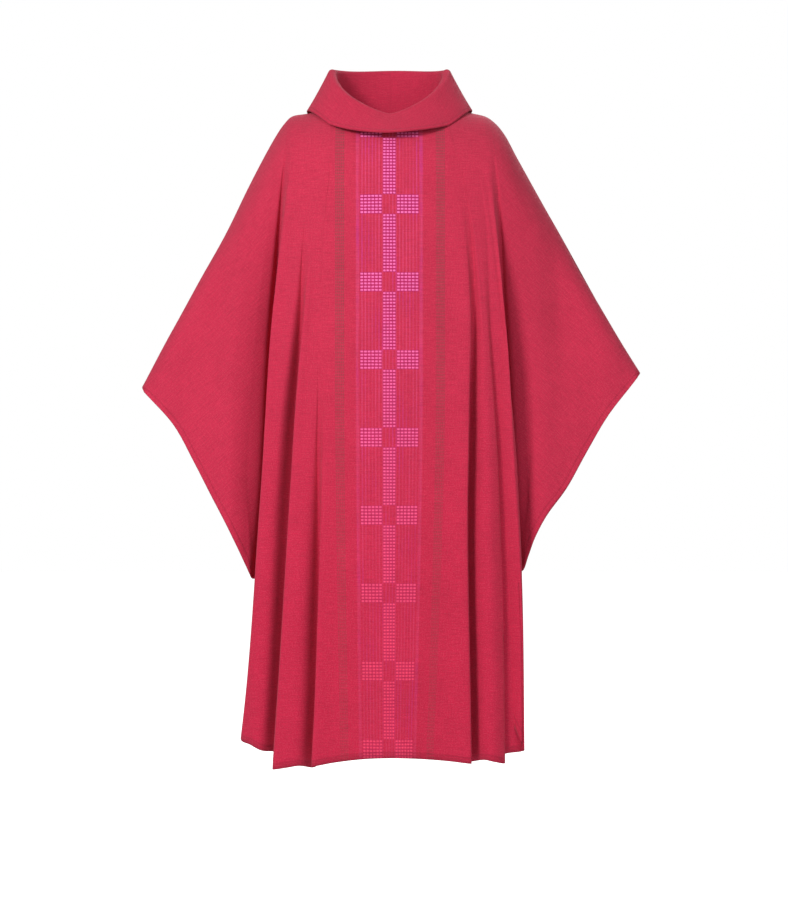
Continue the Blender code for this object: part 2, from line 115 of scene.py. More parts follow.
# line: (height, distance from the centre); apex and reach: where the fold starts and
# how far below that it is full; overlap, forward and back: its size when full; tuck:
# how far the cloth beyond it drops back to the wings; hem: heights of the lower ends
# of the crest, the return and the valley
Fold = namedtuple("Fold", "line apex reach overlap forward back tuck hem")
FOLDS = {
    ("front", "left"): (
        Fold(
            ((0.0, 0.085), (-0.25, 0.118), (-0.65, 0.133), (-0.96, 0.139), (-1.15, 0.144), (-1.28, 0.150)),
            -0.48, 0.60, 0.020, 0.010, 0.016, 0.0, (-1.277, -1.269, -1.284),
        ),
        Fold(
            ((0.0, 0.134), (-0.20, 0.155), (-0.38, 0.168), (-0.76, 0.194), (-1.15, 0.217), (-1.28, 0.226)),
            -0.22, 0.40, 0.036, 0.010, 0.018, 0.0, (-1.286, -1.272, -1.258),
        ),
        Fold(
            ((0.0, 0.182), (-0.11, 0.197), (-0.38, 0.228), (-0.76, 0.252), (-1.15, 0.283), (-1.24, 0.294)),
            -0.05, 0.45, 0.056, 0.008, 0.017, 0.80, (-1.231, -1.120, -0.926),
        ),
    ),
    ("front", "right"): (
        Fold(
            ((0.0, 0.085), (-0.18, 0.140), (-0.38, 0.161), (-0.57, 0.157), (-0.76, 0.152), (-1.28, 0.159)),
            -0.12, 0.62, 0.024, 0.010, 0.0145, 0.0, (-1.272, -1.265, -1.273),
        ),
        Fold(
            ((0.0, 0.134), (-0.20, 0.177), (-0.38, 0.192), (-0.76, 0.215), (-0.96, 0.222), (-1.28, 0.225)),
            -0.10, 0.60, 0.004, 0.000, 0.008, 0.0, (-1.275, -1.268, -1.260),
        ),
        Fold(
            ((0.0, 0.182), (-0.11, 0.199), (-0.38, 0.225), (-0.76, 0.245), (-1.00, 0.257), (-1.24, 0.260)),
            -0.06, 0.50, 0.046, 0.008, 0.008, 0.68, (-1.242, -1.120, -0.910),
        ),
    ),
    ("back", "left"): (
        Fold(
            ((0.0, 0.080), (-0.30, 0.092), (-0.80, 0.100), (-1.30, 0.108)),
            -0.30, 0.70, 0.016, 0.010, 0.016, 0.0, (-1.296, -1.294, -1.292),
        ),
        Fold(
            ((0.0, 0.134), (-0.30, 0.160), (-0.80, 0.176), (-1.30, 0.190)),
            -0.16, 0.60, 0.030, 0.010, 0.018, 0.0, (-1.280, -1.272, -1.262),
        ),
        Fold(
            ((0.0, 0.184), (-0.14, 0.204), (-0.50, 0.232), (-0.87, 0.252), (-1.26, 0.268)),
            -0.06, 0.60, 0.050, 0.006, 0.010, 0.95, (-1.236, -1.110, -0.915),
        ),
    ),
    ("back", "right"): (
        Fold(
            ((0.0, 0.080), (-0.30, 0.098), (-0.80, 0.108), (-1.30, 0.112)),
            -0.24, 0.70, 0.018, 0.010, 0.016, 0.0, (-1.295, -1.293, -1.290),
        ),
        Fold(
            ((0.0, 0.134), (-0.30, 0.158), (-0.80, 0.172), (-1.30, 0.182)),
            -0.30, 0.70, 0.028, 0.010, 0.016, 0.0, (-1.278, -1.270, -1.260),
        ),
        Fold(
            ((0.0, 0.182), (-0.14, 0.202), (-0.50, 0.228), (-0.87, 0.246), (-1.26, 0.246)),
            -0.06, 0.60, 0.046, 0.006, 0.010, 0.95, (-1.234, -1.108, -0.900),
        ),
    ),
}
CENTRE_HEM = {"front": -1.260, "back": -1.298}
FOLD_SLACK = 0.009
FOLD_TOPS = (0.102, 0.138, 0.187)
TOP_GAPS = (-1.0, 0.0, 0.7, 1.3)
PIPE_TOPS = (0.118, 0.163)
PIPE_BULGE = 0.009
PIPE_START = -0.30
PIPE_REACH = 0.60
VALLEY_DEEPER = 1.2
VALLEY_PULL = 1.4
FULL_OVERLAP = 0.018
WALL = 0.017
DIP_WALL = 1.7
LAP_WALL = 0.7
RIM_DEPTH = 0.22
LEAST_RETURN = 0.013
WALL_LIFT = 0.006
WING_TOP = 0.198
WING_EASE = 0.024
WING_EASE_POWER = 4
WING_EASE_FADE = 0.25
WING_WAVE_TAIL = 0.10
WING_WAVE = (
    (0.0, 0.0), (0.12, -0.011), (0.27, -0.021), (0.50, -0.013), (0.75, 0.003), (1.0, 0.0),
)
WING_SHARES = (0.035, 0.08, 0.16, 0.27, 0.42, 0.60, 0.80, 1.0)
FLAT_SHARES = (0.38, 0.76)
FLAT_TOP = 0.098
BODY_LINES = 16
SWELL = 0.0016
FINE_SWELL = 0.0007
SWELL_START = -0.06
SWELL_REACH = 0.35

# Pattern coordinates: where the cloth starts to count its depth, and its easing at the hem
FLAT_CENTRE = 0.100
FLAT_BLEND = 0.03
EASE_START = -0.55
EASE_REACH = 0.70
EASE_POWER = 1.5
EASE_RIGHT = 0.21
EASE_LEFT = 0.10
GRAIN_PIVOT = 0.20
WING_PATTERN_SHIFT = 0.45
LEAST_SLANT = 0.35

# Collar: (half width, front reach, back reach, front height, rise to the side, rise to the back)
ROLL = (0.1145, 0.122, 0.100, -0.012, 0.105, 0.012)
FALL_EDGE = (0.1640, 0.170, 0.160, -0.0525, 0.062, 0.012)
ROLL_SHARPNESS = 0.69
FALL_SHARPNESS = 0.82
COLLAR_STEPS = 240
ROLL_RADIUS = 0.007
ROLL_TURN = math.radians(150)
FALL_BULGE = 0.010
EDGE_REST = 0.0050
PLY = 0.0008
PLY_LEVEL = 0.0011
PLY_SETBACK = 0.0025
STAND_LIFT = 0.0012
EDGE_WAVE = 0.0012
ROLL_WAVE = 0.0010
FALL_SPAN = 0.05
PROFILE_STEPS = 10
FALL_STEPS = 15
HOOK_TURNS = (36, 72, 108, 144, 180)
NECK_ROUND = 0.135

# Trim
CORNER_POINTS = 4
SEAM_TO_TRIM = 0.0034
TAPE_WIDTH = 0.010
TAPE_THICK = 0.0008
TAPE_POINTS = 400
TAPE_SKIP = 3
BINDING_HEIGHT = 0.0125
BINDING_THICK = 0.0014
BINDING_DROP = 0.0027
LOOP_WIDTH = 0.006
LOOP_THICK = 0.0014
LOOP_BEND = 0.009
LOOP_STRAIGHT = 0.005
LOOP_BEND_STEPS = 8
LABEL_THICK = 0.0006
LABEL_INSET = 0.0040
LABEL_END = 0.017
LABEL_END_BLEND = 0.004
LABEL_END_RISE = 0.0004

# Woven band, in metres on the flat cloth
BAND_HALF = 0.0650
STRIPE_PITCH = 0.0066
CROSS_PITCH = 0.1503
CROSS_TOP = -0.1907
ROW_PITCH = 0.1503 / 24
BAR_HALF = 0.0126
BLOCK_INNER = 0.0142
BLOCK_OUTER = 0.0568
SIDE_STRIPE = 0.0973
SIDE_STRIPE_HALF = 0.0090
SIDE_STRIPE_SHIFT = -0.0013
SIDE_DOT_ACROSS = 0.0037
SIDE_DOT_DOWN = 0.0062
HEAVY_STRIPE = (0.0606, 0.0642)
PATTERN_EDGE = 0.0003

# Weave and hems
WEAVE_PITCH = 0.0013
BIAS_PITCH = 0.0009
WEAVE_DEPTH = 0.00028
HEM_WIDTH = 0.0105
COLLAR_HEM_WIDTH = 0.0060
STITCH_PITCH = 0.0034

# Colours, linear
RED = (0.555, 0.023, 0.067)
RED_LOW = (0.555, 0.014, 0.056)
COLLAR_RED = (0.555, 0.019, 0.063)
LINING_RED = (0.300, 0.012, 0.032)
PINK_TOP = (1.000, 0.190, 0.520)
PINK_LOW = (0.900, 0.060, 0.140)
PLUM = (0.440, 0.014, 0.105)
PALE_RED = (0.600, 0.060, 0.105)
STRIPE_PINK = (0.700, 0.070, 0.200)
STRIPE_PURPLE = (0.600, 0.050, 0.270)
GREY_GREEN = (0.160, 0.060, 0.060)
LABEL_CREAM = (0.760, 0.700, 0.600)
INTERLINING = (0.800, 0.780, 0.740)
SHEEN = (1.0, 0.50, 0.58)

CAMERA_PLACE = (0.009, -5.0, -0.666)
LENS = 100.0
SENSOR = 36.0
AMBIENT = 0.36
FLOOR_GAP = 0.30
FLOOR_HALF = 14.0
LIGHT_TARGET = (0.0, 0.0, -0.6)
# name, place, watts, size
LIGHTS = (
    ("key", (-2.3, -4.1, 1.3), 179.0, 1.2),
    ("fill", (2.8, -4.2, 0.4), 63.0, 2.6),
    ("back", (0.8, 3.6, 1.6), 90.0, 2.4),
)


def none(z):
    return 0.0 * z


def smooth_step(share):
    share = np.clip(share, 0.0, 1.0)
    return share * share * (3.0 - 2.0 * share)


def unit(vectors):
    return vectors / np.maximum(np.linalg.norm(vectors, axis=-1, keepdims=True), 1e-9)


def through(points, at):
    """The smooth curve through (place, value) points, read at the places given."""
    place, value = np.array(sorted(points)).T
    slope = np.gradient(value, place)
    at = np.clip(at, place[0], place[-1])
    i = np.clip(np.searchsorted(place, at) - 1, 0, len(place) - 2)
    span = place[i + 1] - place[i]
    s = (at - place[i]) / span
    start = (2 * s**3 - 3 * s**2 + 1) * value[i] + (s**3 - 2 * s**2 + s) * span * slope[i]
    end = (3 * s**2 - 2 * s**3) * value[i + 1] + (s**3 - s**2) * span * slope[i + 1]
    return start + end


def along(points, share):
    """The point at this share of the length of a smooth path through 2-D points."""
    points = np.array(points)
    steps = np.linalg.norm(np.diff(points, axis=0), axis=1)
    places = np.concatenate([[0.0], np.cumsum(steps)]) / steps.sum()
    return np.array([through(list(zip(places, column)), share) for column in points.T])


# ---------------------------------------------------------------- body panels


def ridge_height(side, x):
    return np.where(x < NECK_HALF, NECK_TOP, through(RIDGE[side], x))


def stand_off(panel, side, x, z, tuck=0.0):
    """How far the cloth stands from the shoulder plane before the folds are added."""
    body = through(BODY_DEPTH[panel], z)
    share = np.clip(1.0 - (x / BODY_HALF) ** 2, 0.0, 1.0) ** BODY_ROUNDNESS
    depth = WING_DEPTH + (body - WING_DEPTH) * share * (1.0 - tuck)
    rounding = WING_ROUND + (SHOULDER_ROUND[panel] - WING_ROUND) * share
    drop = np.clip((ridge_height(side, x) - z) / rounding, 0.0, 1.0)
    return SEAM_HALF + depth * np.sqrt(1.0 - (1.0 - drop) ** 2)


def neckline_height(panel, x):
    inside = np.clip(x / NECK_HALF, 0.0, 1.0)
    return NECK_TOP - NECK_DROP[panel] * np.sqrt(1.0 - inside**2)


def line_down(panel, side, x_of_z, top_x, hem_z, push, tuck):
    """One line down a panel. push(z) moves it outwards and tuck(z) back to the wings."""
    share = np.linspace(0.0, 1.0, PANEL_ROWS) ** TOP_CROWDING
    top_z = neckline_height(panel, top_x) if top_x < NECK_HALF else ridge_height(side, top_x)
    z = top_z + (hem_z - top_z) * share
    start = top_x - x_of_z(np.array([top_z]))[0]
    x = x_of_z(z) + start * (1.0 - share) ** START_FADE
    y = stand_off(panel, side, x, z, tuck(z)) + push(z)
    return np.column_stack([SIDE[side] * x, FACING[panel] * y, z])


def lap(fold):
    """1 for a fold that laps over itself, down to 0 for one that only dips."""
    return min(fold.overlap / FULL_OVERLAP, 1.0)


def wall_width(fold):
    """How far beyond its valley a fold's cloth comes forward again; a tucked one doesn't."""
    return 0.0 if fold.tuck else WALL * (DIP_WALL - LAP_WALL * lap(fold))


def fullness(fold, z):
    """0 above the fold's apex, rising to 1 where the fold is full."""
    return smooth_step((fold.apex - z) / fold.reach)


def fold_lines(panel, side, fold, top_x):
    """The crest, return, valley and outer wall of one fold."""

    def centre(z):
        return through(fold.line, z)

    def full(z):
        return fullness(fold, z)

    def crest(z):
        return centre(z) - FOLD_SLACK * (1.0 - full(z))

    def under(z):
        return centre(z) - fold.overlap * full(z) ** 2

    def valley(z):
        return centre(z) + FOLD_SLACK * (1.0 - VALLEY_PULL * full(z))

    def wall(z):
        return centre(z) + FOLD_SLACK + wall_width(fold) * full(z)

    deep = fold.back * (1.0 + VALLEY_DEEPER * lap(fold))
    places = (crest, under, valley, wall)
    rim = -RIM_DEPTH * deep if fold.tuck else 0.0
    pushes = (fold.forward, -max(0.5 * deep, LEAST_RETURN * lap(fold)), -deep, rim)
    tucks = (0.0, 0.5 * fold.tuck, fold.tuck, fold.tuck)
    tops = [top_x + gap * FOLD_SLACK for gap in TOP_GAPS]
    hems = (*fold.hem, fold.hem[-1] + WALL_LIFT)
    return [
        line_down(
            panel, side, place, top, hem,
            lambda z, push=push: push * full(z),
            lambda z, tuck=tuck: tuck * full(z),
        )
        for place, push, tuck, top, hem in zip(places, pushes, tucks, tops, hems)
    ]


def pipe_line(panel, side, inner, outer, top_x):
    """The crown of the round pipe between two folds."""
    hem = 0.5 * (inner[-1, 2] + outer[-1, 2])
    xs = 0.5 * (np.abs(inner[:, 0]) + np.abs(outer[:, 0]))
    zs = 0.5 * (inner[:, 2] + outer[:, 2])
    points = list(zip(zs, xs))
    return line_down(
        panel, side, lambda z: through(points, z), top_x, hem,
        lambda z: PIPE_BULGE * smooth_step((PIPE_START - z) / PIPE_REACH), none,
    )


def wing_lines(panel, side, fold, top_x):
    """The lines of the wing, from the valley of the outer fold to the tip."""

    def full(z):
        return fullness(fold, z)

    edge = WING_EDGE[side]
    if panel == "back":
        edge = [(x, z + BACK_EDGE_LIFT) for x, z in edge]
    ridge = [point for point in RIDGE[side] if point[0] > top_x]
    ridge.insert(0, (top_x, float(ridge_height(side, np.array(top_x)))))
    lines = []
    for share in WING_SHARES:
        top = along(ridge, share)
        low = along(edge, share)
        dent = through(WING_WAVE, share)

        def x_of_z(z, top=top, low=low, share=share):
            beside = (1.0 - share) ** WING_EASE_POWER * WING_EASE * full(z)
            beside = beside * smooth_step((z - low[1]) / WING_EASE_FADE)
            return top[0] + (low[0] - top[0]) * (top[1] - z) / (top[1] - low[1]) + beside

        def push(z, top=top, low=low, dent=dent):
            return -dent * smooth_step((top[1] - z) / (top[1] - low[1] + WING_WAVE_TAIL))

        lines.append(
            line_down(
                panel, side, x_of_z, top[0], low[1], push, lambda z: fold.tuck * full(z)
            )
        )
    return lines


def flat_lines(panel, side, fold):
    """The lines of the flat centre, between the centre line and the innermost fold."""
    lines = []
    for share in FLAT_SHARES:

        def x_of_z(z, share=share):
            return share * (through(fold.line, z) - FOLD_SLACK)

        hem_z = CENTRE_HEM[panel] + (fold.hem[0] - CENTRE_HEM[panel]) * share**2
        lines.append(line_down(panel, side, x_of_z, share * FLAT_TOP, hem_z, none, none))
    return lines


def half_lines(panel, side):
    """The lines of half a panel, from beside its centre line out to the tip of the wing."""
    folds = FOLDS[panel, side]
    drawn = [fold_lines(panel, side, fold, top) for fold, top in zip(folds, FOLD_TOPS)]
    lines = flat_lines(panel, side, folds[0]) + drawn[0]
    for inner, outer, top in zip(drawn, drawn[1:], PIPE_TOPS):
        lines += [pipe_line(panel, side, inner[-1], outer[0], top)] + outer
    return lines + wing_lines(panel, side, folds[-1], WING_TOP)


def smooth_across(lines, steps):
    """The smooth surface across the lines, with this many columns from one to the next."""
    before = 2 * lines[0] - lines[1]
    after = 2 * lines[-1] - lines[-2]
    p = np.concatenate([[before], lines, [after]])
    gap = np.sqrt(np.linalg.norm(np.diff(p, axis=0), axis=2, keepdims=True)) + 1e-5
    columns = []
    for i in range(1, len(p) - 2):
        a, b, c = gap[i - 1], gap[i], gap[i + 1]
        leave = ((p[i] - p[i - 1]) / a - (p[i + 1] - p[i - 1]) / (a + b)) * b + p[i + 1] - p[i]
        arrive = p[i + 1] - p[i] + ((p[i + 2] - p[i + 1]) / c - (p[i + 2] - p[i]) / (b + c)) * b
        for s in np.arange(steps) / steps:
            start = (2 * s**3 - 3 * s**2 + 1) * p[i] + (s**3 - 2 * s**2 + s) * leave
            end = (3 * s**2 - 2 * s**3) * p[i + 1] + (s**3 - s**2) * arrive
            columns.append(start + end)
    columns.append(lines[-1])
    return np.array(columns)


def soft_ripples(grid, panel):
    """Small uneven swells along the normal, together at most 2.3 mm high."""
    du = np.gradient(grid, axis=0)
    dv = np.gradient(grid, axis=1)
    normal = unit(np.cross(du, dv)) * (1.0 if panel == "front" else -1.0)
    x, z = grid[..., 0], grid[..., 2]
    shift = 0.0 if panel == "front" else 1.7
    swell = np.sin(26 * x + 2.1 * z + shift) * np.sin(3.1 * z + 5 * x + 0.6)
    fine = np.sin(61 * x - 4.3 * z + 2.0) * np.sin(7.7 * z + 9 * x + shift)
    free = smooth_step((SWELL_START - z) / SWELL_REACH)
    return grid + normal * ((SWELL * swell + FINE_SWELL * fine) * free)[..., None]


def pattern_coordinates(grid):
    """Distance across the cloth from its centre line; depth counts only beyond the centre."""
    centre = len(grid) // 2
    step = np.diff(grid, axis=0)
    middle = 0.5 * np.abs(grid[1:, :, 0] + grid[:-1, :, 0])
    deep = smooth_step((middle - FLAT_CENTRE) / FLAT_BLEND)
    length = np.sqrt(step[..., 0] ** 2 + deep * step[..., 1] ** 2)
    across = np.concatenate([np.zeros((1, grid.shape[1])), np.cumsum(length, axis=0)])
    return across - across[centre]


def eased_in(across, z):
    """Pattern coordinates on the body, whose cloth is eased together towards the hem."""
    share = np.clip((EASE_START - z) / EASE_REACH, 0.0, 1.0) ** EASE_POWER
    return across / (1.0 - np.where(across > 0.0, EASE_RIGHT, EASE_LEFT) * share)


def wing_coordinates(grid):
    """Pattern coordinates on a wing, whose grain turned with the arm."""
    x, z = grid[..., 0], grid[..., 2]
    side = np.sign(x) + (x == 0)
    out = np.abs(x) - GRAIN_PIVOT
    u = side * (WING_PATTERN_SHIFT + math.cos(GRAIN_TURN) * out - math.sin(GRAIN_TURN) * z)
    v = math.sin(GRAIN_TURN) * out + math.cos(GRAIN_TURN) * z
    return np.stack([u, v], axis=-1)


def edge_distance(grid):
    """Distance from the hem, measured at right angles to it."""
    step = np.linalg.norm(np.diff(grid, axis=1), axis=2)
    total = step[:, ::-1].cumsum(axis=1)[:, ::-1]
    up = np.concatenate([total, np.zeros((len(grid), 1))], axis=1)
    hem = np.gradient(grid[:, -1], axis=0)
    slant = np.hypot(hem[:, 0], hem[:, 1]) / np.maximum(np.linalg.norm(hem, axis=1), 1e-9)
    return up * np.maximum(slant, LEAST_SLANT)[:, None]


def grid_faces(columns, rows, closed=False):
    faces = []
    for i in range(columns if closed else columns - 1):
        j = (i + 1) % columns
        for k in range(rows - 1):
            near = i * rows + k
            far = j * rows + k
            faces.append((near, near + 1, far + 1, far))
    return faces


def add_mesh(name, points, faces, material):
    mesh = bpy.data.meshes.new(name)
    mesh.from_pydata(np.asarray(points, float).reshape(-1, 3).tolist(), [], faces)
    mesh.update()
    mesh.materials.append(material)
    mesh.shade_smooth()
    obj = bpy.data.objects.new(name, mesh)
    bpy.context.scene.collection.objects.link(obj)
    return obj


def put_pattern(obj, per_point):
    """Writes pattern coordinates, one pair for each point, as the mesh's first UV map."""
    mesh = obj.data
    layer = mesh.uv_layers.new(name="pattern")
    corners = np.empty(len(mesh.loops), np.int32)
    mesh.loops.foreach_get("vertex_index", corners)
    layer.data.foreach_set("uv", np.asarray(per_point, float).reshape(-1, 2)[corners].ravel())


def put_value(obj, name, per_point):
    attribute = obj.data.attributes.new(name, "FLOAT", "POINT")
    attribute.data.foreach_set("value", np.asarray(per_point, float).ravel())


def thicken(obj, thickness, offset=-1.0):
    modifier = obj.modifiers.new("thickness", "SOLIDIFY")
    modifier.thickness = thickness
    modifier.offset = offset
    modifier.use_rim = True


def make_panel(name, panel, material):
    centre = line_down(panel, "right", none, 0.0, CENTRE_HEM[panel], none, none)
    left = half_lines(panel, "left")
    lines = np.array(left[::-1] + [centre] + half_lines(panel, "right"))
    grid = soft_ripples(smooth_across(lines, ACROSS), panel)
    columns, rows = grid.shape[:2]
    faces = grid_faces(columns, rows)
    if panel == "back":
        faces = [face[::-1] for face in faces]
    obj = add_mesh(name, grid, faces, material)
    across = eased_in(pattern_coordinates(grid), grid[..., 2])
    body = np.stack([across, grid[..., 2]], axis=-1)
    index = np.abs(np.arange(columns) - columns // 2)
    on_wing = (index > BODY_LINES * ACROSS)[:, None, None]
    put_pattern(obj, np.where(on_wing, wing_coordinates(grid), body))
    put_value(obj, "from_hem", edge_distance(grid))
    thicken(obj, CLOTH)
    return obj


# ---------------------------------------------------------------- collar


def ring_point(shape, angle, sharpness):
    """A point of a collar ring. The angle is 0 at the front and a quarter turn at the right."""
    half, front, back, low, side_rise, back_rise = shape
    forward = math.cos(angle)
    reach = front if forward > 0 else back
    rise = side_rise * (1.0 - max(forward, 0.0)) ** sharpness
    height = low + rise - back_rise * min(forward, 0.0)
    return np.array([half * math.sin(angle), -reach * forward, height])


def neck_seam(angle):
    """The point of the neckline at this angle around the neck."""
    panel = "front" if math.cos(angle) > 0 else "back"
    x = NECK_HALF * abs(math.sin(angle))
    z = neckline_height(panel, x)
    y = stand_off(panel, "right", np.array(x), np.array(z))
    return np.array([NECK_HALF * math.sin(angle), FACING[panel] * float(y), float(z)])


def cloth_height(panel, x, y):
    """The height of the shoulder cloth under a point at this place in plan."""
    share = max(1.0 - (x / BODY_HALF) ** 2, 0.0) ** BODY_ROUNDNESS
    body = through(BODY_DEPTH[panel], 0.0)
    depth = WING_DEPTH + (body - WING_DEPTH) * share
    rounding = WING_ROUND + (SHOULDER_ROUND[panel] - WING_ROUND) * share
    out = min(abs(y) / depth, 1.0)
    return float(ridge_height("right", x)) - rounding * (1.0 - math.sqrt(1.0 - out**2))


def collar_edge(angle):
    """The free edge of the fall, resting on the shoulders and standing clear of the chest."""
    edge = ring_point(FALL_EDGE, angle, FALL_SHARPNESS)
    panel = "front" if math.cos(angle) > 0 else "back"
    edge[2] = max(edge[2], cloth_height(panel, abs(edge[0]), edge[1]) + EDGE_REST)
    edge[2] += EDGE_WAVE * math.sin(5 * angle + 0.8)
    return edge


def collar_profile(angle, rise, wraps):
    """The section of one ply: up the stand, over the roll and down the fall.

    rise is how far the ply lies above the middle of the collar. A ply that wraps goes on
    round the free edge to the underside.
    """
    seam = neck_seam(angle) + np.array([0.0, 0.0, STAND_LIFT])
    roll = ring_point(ROLL, angle, ROLL_SHARPNESS)
    roll[2] += ROLL_WAVE * math.sin(4 * angle + 2.0)
    edge = collar_edge(angle)
    up = np.array([0.0, 0.0, 1.0])
    outward = edge - roll
    outward[2] = 0.0
    outward /= np.linalg.norm(outward)
    centre = roll - up * ROLL_RADIUS
    radius = ROLL_RADIUS + rise
    turn = [
        centre - outward * radius * math.cos(t) + up * radius * math.sin(t)
        for t in np.linspace(0.0, ROLL_TURN, PROFILE_STEPS)
    ]
    across = float((edge - centre) @ outward) - ROLL_RADIUS
    normal = unit(outward * (centre[2] - edge[2]) + up * across)
    last = edge + normal * rise
    bulge = up * FALL_BULGE - outward * FALL_BULGE * across / FALL_SPAN
    start = turn[-1]
    down = unit(last - start)
    foot = seam - outward * rise
    stand = [foot + (turn[0] - foot) * t for t in np.linspace(0.0, 1.0, PROFILE_STEPS)[:-1]]
    stop = 1.0 if wraps else 1.0 - PLY_SETBACK / np.linalg.norm(last - start)
    fall = [
        start + (last - start) * t + bulge * t * (1.0 - t)
        for t in np.linspace(0, stop, FALL_STEPS)[1:]
    ]
    hook = []
    if wraps:
        inside = last - normal * rise
        hook = [
            inside + normal * rise * math.cos(t) + down * rise * math.sin(t)
            for t in np.radians(HOOK_TURNS)
        ]
    return np.array(stand + turn + fall + hook)


def make_ply(name, level, material, wraps=False):
    angles = np.arange(COLLAR_STEPS) * 2.0 * math.pi / COLLAR_STEPS
    ring = np.array([collar_profile(angle, level * PLY_LEVEL, wraps) for angle in angles])
    count = ring.shape[1]
    faces = [face[::-1] for face in grid_faces(COLLAR_STEPS, count, closed=True)]
    obj = add_mesh(name, ring, faces, material)
    step = np.linalg.norm(np.diff(ring, axis=1), axis=2)
    down = np.concatenate([np.zeros((len(ring), 1)), step.cumsum(axis=1)], axis=1)
    # The cut is one long strip, so the weave runs round the neck and closes at the back
    round_neck = ((angles + math.pi) % (2 * math.pi) - math.pi)[:, None] * NECK_ROUND
    put_pattern(obj, np.stack([round_neck + 0 * down, -down], axis=-1))
    fall_end = -1 - len(HOOK_TURNS) if wraps else -1
    put_value(obj, "from_hem", down[:, [fall_end]] - down)
    thicken(obj, PLY, 0.0)
    return obj


# ---------------------------------------------------------------- trim


def rounded_section(width, thick):
    """A rounded rectangle, as (across, out) pairs."""
    radius = 0.48 * thick
    points = []
    for cx, cy, start in ((1, 1, 0), (-1, 1, 90), (-1, -1, 180), (1, -1, 270)):
        for k in range(CORNER_POINTS):
            t = math.radians(start + 90.0 * k / (CORNER_POINTS - 1))
            x = cx * (0.5 * width - radius) + radius * math.cos(t)
            y = cy * (0.5 * thick - radius) + radius * math.sin(t)
            points.append((x, y))
    return points


def sweep(path, across, out, section, closed):
    """Points and faces of a strip with this section along a path. out is up from its face."""
    points = np.array([
        [p + a * x + o * y for x, y in section] for p, a, o in zip(path, across, out)
    ])
    count = len(section)
    faces = []
    for i in range(len(path) if closed else len(path) - 1):
        j = (i + 1) % len(path)
        for k in range(count):
            m = (k + 1) % count
            faces.append((i * count + k, i * count + m, j * count + m, j * count + k))
    if not closed:
        last = (len(path) - 1) * count
        faces.append(tuple(range(count))[::-1])
        faces.append(tuple(range(last, last + count)))
    return points, faces


def outward_faces(points, faces):
    """The faces turned so that the closed body they make has a positive volume."""
    flat = points.reshape(-1, 3)
    middle = flat.mean(axis=0)
    volume = 0.0
    for face in faces:
        a = flat[face[0]] - middle
        for k in range(1, len(face) - 1):
            volume += a @ np.cross(flat[face[k]] - middle, flat[face[k + 1]] - middle)
    return faces if volume > 0 else [face[::-1] for face in faces]


def add_strip(name, path, across, out, section, closed, material):
    points, faces = sweep(path, across, out, section, closed)
    obj = add_mesh(name, points, outward_faces(points, faces), material)
    step = np.linalg.norm(np.diff(path, axis=0), axis=1)
    run = np.concatenate([[0.0], step.cumsum()])
    u = np.array([[x for x, _ in section]] * len(path))
    put_pattern(obj, np.stack([u, run[:, None] + 0 * u], axis=-1))
    return obj


def make_shoulder_tape(name, side, material):
    """The stay tape against the underside of the shoulder and arm seam."""
    low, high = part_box(side + "_shoulder_tape")
    ends = (abs(low[0]), abs(high[0]))
    path = np.array([along(RIDGE[side], share) for share in np.linspace(0.0, 1.0, TAPE_POINTS)])
    path = path[(path[:, 0] > min(ends)) & (path[:, 0] < max(ends))][::TAPE_SKIP]
    heading = unit(np.gradient(path, axis=0))
    under = np.column_stack([SIDE[side] * heading[:, 1], np.zeros(len(path)), -heading[:, 0]])
    line = np.column_stack([SIDE[side] * path[:, 0], np.zeros(len(path)), path[:, 1]])
    across = np.tile([0.0, 1.0, 0.0], (len(path), 1))
    section = rounded_section(TAPE_WIDTH, TAPE_THICK)
    return add_strip(name, line + under * SEAM_TO_TRIM, across, under, section, False, material)


def make_neck_binding(name, material):
    """The bias strip over the neck seam on the inside, with a soft edge at each side."""
    angles = np.arange(COLLAR_STEPS) * 2.0 * math.pi / COLLAR_STEPS
    seam = np.array([neck_seam(angle) for angle in angles])
    inward = unit(-seam * np.array([1.0, 0.9, 0.0]))
    path = seam + inward * SEAM_TO_TRIM - np.array([0.0, 0.0, BINDING_DROP])
    across = np.tile([0.0, 0.0, 1.0], (len(path), 1))
    section = rounded_section(BINDING_HEIGHT, BINDING_THICK)
    return add_strip(name, path, across, inward, section, True, material)


def make_hanger_loop(name, material):
    """A flat tape bent to a U, in the space of its CAD node."""
    low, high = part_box("hanger_loop")
    half = 0.5 * (high[0] - low[0]) - 0.5 * LOOP_WIDTH
    top = high[2]
    bottom = low[2] + 0.5 * LOOP_WIDTH
    middle = 0.5 * (low[1] + high[1])
    bend = LOOP_BEND
    line = [(-half, top), (-half, top - LOOP_STRAIGHT)]
    for k in range(LOOP_BEND_STEPS + 1):
        t = math.radians(180 + 90 * k / LOOP_BEND_STEPS)
        line.append((-half + bend + bend * math.cos(t), bottom + bend + bend * math.sin(t)))
    line += [(-x, z) for x, z in line[::-1]]
    path = np.array([(x, middle, z) for x, z in line])
    heading = unit(np.gradient(path, axis=0))
    out = np.tile([0.0, 1.0, 0.0], (len(path), 1))
    across = np.cross(heading, out)
    section = rounded_section(LOOP_WIDTH, LOOP_THICK)
    return add_strip(name, path, across, out, section, False, material)


def make_label(name, material):
    """A blank woven label with its ends turned under."""
    low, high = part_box("size_label")
    columns, rows = 25, 13
    points = []
    for x in np.linspace(low[0], high[0], columns):
        for z in np.linspace(high[2], low[2], rows):
            y = float(stand_off("back", "right", np.array(abs(x)), np.array(z))) - LABEL_INSET
            end = smooth_step((abs(x) - LABEL_END) / LABEL_END_BLEND)
            points.append((x, y - LABEL_END_RISE * float(end), z))
    obj = add_mesh(name, points, grid_faces(columns, rows), material)
    put_pattern(obj, [(x, z) for x, _, z in points])
    thicken(obj, LABEL_THICK)
    return obj


# ---------------------------------------------------------------- materials


